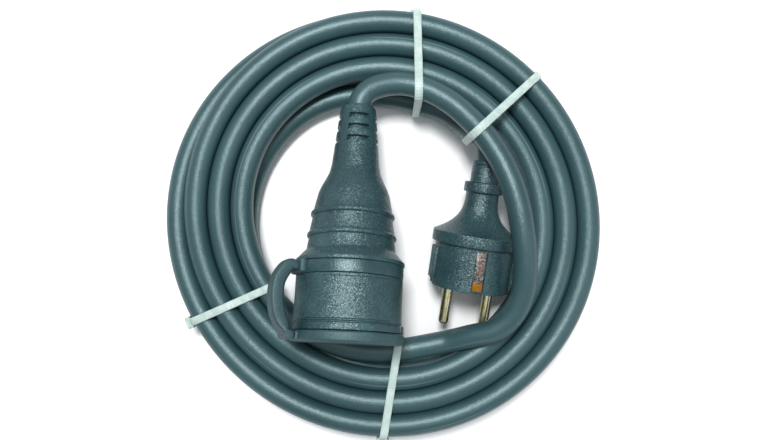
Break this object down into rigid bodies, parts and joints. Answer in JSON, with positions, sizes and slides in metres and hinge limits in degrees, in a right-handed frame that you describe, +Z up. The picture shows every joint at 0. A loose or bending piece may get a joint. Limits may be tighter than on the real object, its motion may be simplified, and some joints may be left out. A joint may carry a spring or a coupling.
{
  "type": "rubber extension cord",
  "caption": "Coiled rubber-jacketed extension cord with an earthed round-pin plug and a coupling socket closed by a hinged splash lid, held by nylon cable ties.",
  "frame": {"origin": "centre of the coil's box, on the floor that it lies on", "axes": "+Z up, the coil lies flat in XY; +Y is the top of the picture, seen from above, and the coupling's lid faces -Y"},
  "size_m": [0.2074, 0.2106, 0.0712],
  "materials": {
    "rubber": "satin, finely textured mould finish",
    "cord": "satin, smooth extruded jacket",
    "insert": "matt moulded",
    "contact_brass": "stamped, slightly dulled",
    "pin_nickel": "nickel plated, worn to brass at the tips",
    "core_line": "brown insulation",
    "core_neutral": "blue insulation",
    "core_earth": "green and yellow insulation",
    "tie_nylon": "natural nylon, slightly translucent"
  },
  "bodies": {
    "cord": {"coupling_body": "rubber", "contact_carrier": "insert", "contact_line": "contact_brass", "contact_neutral": "contact_brass", "earth_bow": "contact_brass", "lid_collar": "rubber", "lid_strap": "rubber", "coupling_core_line": "core_line", "coupling_core_neutral": "core_neutral", "coupling_core_earth": "core_earth", "coupling_lead": "cord", "coil": "cord", "plug_lead": "cord", "plug_body": "rubber", "pin_bridge": "insert", "pin_line": "pin_nickel", "pin_neutral": "pin_nickel", "earth_frame": "contact_brass", "earth_sleeve": "contact_brass", "plug_core_line": "core_line", "plug_core_neutral": "core_neutral", "plug_core_earth": "core_earth", "tie_top": "tie_nylon", "tie_right": "tie_nylon", "tie_left": "tie_nylon", "tie_bottom": "tie_nylon"},
    "lid": {"lid": "rubber"}
  },
  "joints": [
    {"name": "lid_hinge", "type": "hinge", "parent": "cord", "child": "lid", "pos_m": [-0.03878, -0.04722, 0.058], "axis": [-0.4304, -0.1698, -0.8865], "range_deg": [0, 140]}
  ]
}
